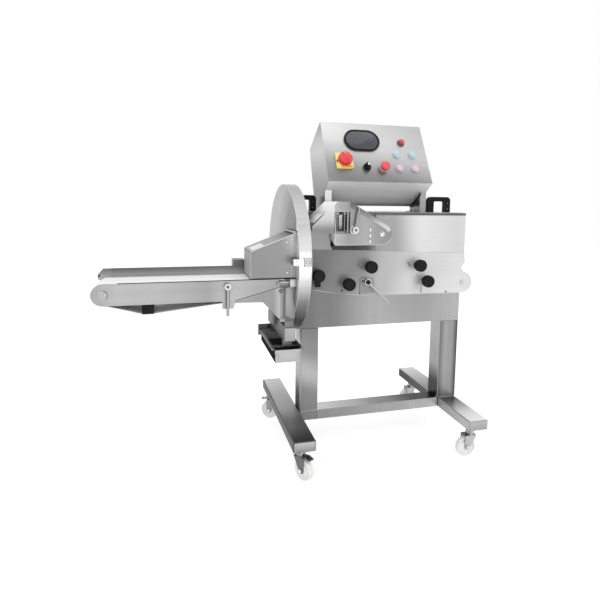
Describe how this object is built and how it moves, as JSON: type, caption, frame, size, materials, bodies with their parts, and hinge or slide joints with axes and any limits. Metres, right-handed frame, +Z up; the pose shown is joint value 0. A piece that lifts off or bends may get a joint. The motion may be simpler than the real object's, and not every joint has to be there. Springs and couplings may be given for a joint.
{
  "type": "conveyor meat slicer",
  "caption": "Stainless meat slicer with a feed channel, a drum-guarded rotary blade, an outfeed belt and a tilted control console on a wheeled stand.",
  "frame": {"origin": "middle of the overall box on the floor, under the wheels", "axes": "+X from the outfeed end to the infeed end, -Y towards the operator, +Z up"},
  "size_m": [1.35, 0.6, 1.25],
  "materials": {
    "brushed_stainless": "brushed",
    "polished_steel": "polished",
    "black_plastic": "satin black",
    "white_belt": "smooth food-grade belt",
    "white_nylon": "satin",
    "red_plastic": "gloss",
    "yellow_plate": "satin",
    "green_plastic": "gloss",
    "pink_red_plastic": "gloss",
    "dark_screen": "gloss screen"
  },
  "bodies": {
    "frame": {"left_foot_beam": "brushed_stainless", "right_foot_beam": "brushed_stainless", "stand_uprights": "brushed_stainless", "cabinet": "brushed_stainless", "cabinet_lid": "brushed_stainless", "lid_handle_left": "black_plastic", "lid_handle_right": "black_plastic", "console_shell": "brushed_stainless", "display": "dark_screen", "main_switch_plate": "yellow_plate", "pilot_lamp": "red_plastic", "drum_housing": "brushed_stainless", "blade_motor": "brushed_stainless", "conveyor_bracket": "brushed_stainless", "conveyor_front_plate": "brushed_stainless", "conveyor_rear_plate": "brushed_stainless", "conveyor_bed": "black_plastic", "outfeed_belt": "white_belt", "side_cover": "brushed_stainless", "channel_wall": "brushed_stainless", "feed_bed": "brushed_stainless", "feed_belt": "white_belt", "presser_housing": "brushed_stainless"},
    "caster_front_left": {"caster_fork_front_left": "polished_steel"},
    "wheel_front_left": {"caster_wheel_front_left": "white_nylon"},
    "pedal_front_left": {"brake_pedal_front_left": "polished_steel"},
    "caster_front_right": {"caster_fork_front_right": "polished_steel"},
    "wheel_front_right": {"caster_wheel_front_right": "white_nylon"},
    "caster_rear_left": {"caster_fork_rear_left": "polished_steel"},
    "wheel_rear_left": {"caster_wheel_rear_left": "white_nylon"},
    "pedal_rear_left": {"brake_pedal_rear_left": "polished_steel"},
    "caster_rear_right": {"caster_fork_rear_right": "polished_steel"},
    "wheel_rear_right": {"caster_wheel_rear_right": "white_nylon"},
    "blade_rotor": {"blade": "polished_steel", "blade_shaft": "polished_steel"},
    "hood": {"discharge_hood": "brushed_stainless"},
    "latch": {"hood_latch": "polished_steel"},
    "tray": {"scrap_tray": "brushed_stainless"},
    "drive_roller": {"outfeed_drive_roller": "brushed_stainless"},
    "tip_roller": {"outfeed_tip_roller": "brushed_stainless"},
    "clamp": {"clamp_lever": "polished_steel"},
    "tail_roller": {"feed_tail_roller": "brushed_stainless"},
    "nose_roller": {"feed_nose_roller": "brushed_stainless"},
    "presser": {"presser_arm": "brushed_stainless", "presser_spring_left": "black_plastic", "presser_spring_right": "black_plastic"},
    "presser_handle": {"presser_lever": "polished_steel"},
    "knob_1": {"clamp_knob_1": "black_plastic"},
    "knob_2": {"clamp_knob_2": "black_plastic"},
    "knob_3": {"clamp_knob_3": "black_plastic"},
    "knob_4": {"clamp_knob_4": "black_plastic"},
    "knob_5": {"clamp_knob_5": "black_plastic"},
    "belt_release": {"release_lever": "polished_steel"},
    "switch_knob": {"main_switch_knob": "red_plastic"},
    "selector": {"selector_knob": "black_plastic"},
    "emergency_stop_push": {"emergency_stop": "red_plastic"},
    "start_push_1": {"start_button_1": "green_plastic"},
    "start_push_2": {"start_button_2": "green_plastic"},
    "stop_push_1": {"stop_button_1": "pink_red_plastic"},
    "stop_push_2": {"stop_button_2": "pink_red_plastic"}
  },
  "joints": [
    {"name": "swivel_front_left", "type": "hinge", "parent": "frame", "child": "caster_front_left", "pos_m": [-0.025, -0.245, 0.119], "axis": [0, 0, 1], "continuous": true},
    {"name": "roll_front_left", "type": "hinge", "parent": "caster_front_left", "child": "wheel_front_left", "pos_m": [-0.0165, -0.25972, 0.0375], "axis": [0.866, 0.5, 0], "continuous": true},
    {"name": "brake_front_left", "type": "hinge", "parent": "caster_front_left", "child": "pedal_front_left", "pos_m": [-0.011, -0.26925, 0.089], "axis": [0.866, 0.5, 0], "range_deg": [-12, 0]},
    {"name": "swivel_front_right", "type": "hinge", "parent": "frame", "child": "caster_front_right", "pos_m": [0.636, -0.245, 0.119], "axis": [0, 0, 1], "continuous": true},
    {"name": "roll_front_right", "type": "hinge", "parent": "caster_front_right", "child": "wheel_front_right", "pos_m": [0.619, -0.245, 0.0375], "axis": [0, -1, 0], "continuous": true},
    {"name": "swivel_rear_left", "type": "hinge", "parent": "frame", "child": "caster_rear_left", "pos_m": [-0.025, 0.245, 0.119], "axis": [0, 0, 1], "continuous": true},
    {"name": "roll_rear_left", "type": "hinge", "parent": "caster_rear_left", "child": "wheel_rear_left", "pos_m": [-0.03972, 0.2535, 0.0375], "axis": [-0.5, -0.866, 0], "continuous": true},
    {"name": "brake_rear_left", "type": "hinge", "parent": "caster_rear_left", "child": "pedal_rear_left", "pos_m": [-0.04925, 0.259, 0.089], "axis": [-0.5, -0.866, 0], "range_deg": [-12, 0]},
    {"name": "swivel_rear_right", "type": "hinge", "parent": "frame", "child": "caster_rear_right", "pos_m": [0.636, 0.245, 0.119], "axis": [0, 0, 1], "continuous": true},
    {"name": "roll_rear_right", "type": "hinge", "parent": "caster_rear_right", "child": "wheel_rear_right", "pos_m": [0.619, 0.245, 0.0375], "axis": [0, -1, 0], "continuous": true},
    {"name": "blade_spin", "type": "hinge", "parent": "frame", "child": "blade_rotor", "pos_m": [0, -0.031, 0.746], "axis": [1, 0, 0], "continuous": true},
    {"name": "hood_lift", "type": "hinge", "parent": "frame", "child": "hood", "pos_m": [-0.0563, -0.252, 0.851], "axis": [0, 1, 0], "range_deg": [0, 75]},
    {"name": "latch_swing", "type": "hinge", "parent": "frame", "child": "latch", "pos_m": [-0.009, -0.298, 0.7575], "axis": [0, 0, 1], "range_deg": [0, 100]},
    {"name": "tray_slide", "type": "slide", "parent": "frame", "child": "tray", "axis": [0, -1, 0], "range_m": [0, 0.2]},
    {"name": "outfeed_drive_turn", "type": "hinge", "parent": "frame", "child": "drive_roller", "pos_m": [-0.098, -0.1785, 0.6595], "axis": [0, 1, 0], "continuous": true},
    {"name": "outfeed_tip_turn", "type": "hinge", "parent": "frame", "child": "tip_roller", "pos_m": [-0.642, -0.1785, 0.665], "axis": [0, 1, 0], "continuous": true},
    {"name": "conveyor_clamp", "type": "hinge", "parent": "frame", "child": "clamp", "pos_m": [-0.273, -0.2523, 0.682], "axis": [0, 1, 0], "range_deg": [0, 90]},
    {"name": "feed_tail_turn", "type": "hinge", "parent": "frame", "child": "tail_roller", "pos_m": [0.574, -0.1725, 0.666], "axis": [0, 1, 0], "continuous": true},
    {"name": "feed_nose_turn", "type": "hinge", "parent": "frame", "child": "nose_roller", "pos_m": [0.032, -0.1725, 0.684], "axis": [0, 1, 0], "continuous": true},
    {"name": "presser_lift", "type": "hinge", "parent": "frame", "child": "presser", "pos_m": [0.25, -0.222, 0.843], "axis": [0, 1, 0], "range_deg": [0, 8]},
    {"name": "presser_lock", "type": "hinge", "parent": "frame", "child": "presser_handle", "pos_m": [0.15, -0.2523, 0.858], "axis": [0, 1, 0], "range_deg": [-10, 80]},
    {"name": "knob_1_turn", "type": "hinge", "parent": "frame", "child": "knob_1", "pos_m": [0.021, -0.2436, 0.709], "axis": [0, 1, 0], "range_deg": [-120, 0]},
    {"name": "knob_2_turn", "type": "hinge", "parent": "frame", "child": "knob_2", "pos_m": [0.1275, -0.2436, 0.677], "axis": [0, 1, 0], "range_deg": [0, 360]},
    {"name": "knob_3_turn", "type": "hinge", "parent": "frame", "child": "knob_3", "pos_m": [0.205, -0.2436, 0.734], "axis": [0, 1, 0], "range_deg": [0, 360]},
    {"name": "knob_4_turn", "type": "hinge", "parent": "frame", "child": "knob_4", "pos_m": [0.387, -0.2436, 0.735], "axis": [0, 1, 0], "range_deg": [0, 360]},
    {"name": "knob_5_turn", "type": "hinge", "parent": "frame", "child": "knob_5", "pos_m": [0.4185, -0.2436, 0.679], "axis": [0, 1, 0], "range_deg": [0, 360]},
    {"name": "belt_release_turn", "type": "hinge", "parent": "frame", "child": "belt_release", "pos_m": [0.1965, -0.2466, 0.682], "axis": [0, 1, 0], "range_deg": [-70, 40]},
    {"name": "switch_turn", "type": "hinge", "parent": "frame", "child": "switch_knob", "pos_m": [0.1735, -0.06059, 1.09764], "axis": [0, -0.8767, 0.481], "range_deg": [0, 90]},
    {"name": "selector_turn", "type": "hinge", "parent": "frame", "child": "selector", "pos_m": [0.2595, -0.07214, 1.0766], "axis": [0, -0.8767, 0.481], "range_deg": [-45, 45]},
    {"name": "emergency_stop_push_travel", "type": "slide", "parent": "frame", "child": "emergency_stop_push", "axis": [0, 0.8767, -0.481], "range_m": [0, 0.003], "stiffness_N_per_m": 400, "springref_m": -0.001},
    {"name": "start_push_1_travel", "type": "slide", "parent": "frame", "child": "start_push_1", "axis": [0, 0.8767, -0.481], "range_m": [0, 0.003], "stiffness_N_per_m": 400, "springref_m": -0.001},
    {"name": "start_push_2_travel", "type": "slide", "parent": "frame", "child": "start_push_2", "axis": [0, 0.8767, -0.481], "range_m": [0, 0.003], "stiffness_N_per_m": 400, "springref_m": -0.001},
    {"name": "stop_push_1_travel", "type": "slide", "parent": "frame", "child": "stop_push_1", "axis": [0, 0.8767, -0.481], "range_m": [0, 0.003], "stiffness_N_per_m": 400, "springref_m": -0.001},
    {"name": "stop_push_2_travel", "type": "slide", "parent": "frame", "child": "stop_push_2", "axis": [0, 0.8767, -0.481], "range_m": [0, 0.003], "stiffness_N_per_m": 400, "springref_m": -0.001}
  ],
  "couplings": [
    {"joint": "outfeed_tip_turn", "follows": "outfeed_drive_turn", "ratio": 1.1833},
    {"joint": "feed_nose_turn", "follows": "feed_tail_turn", "ratio": 2.1613}
  ]
}
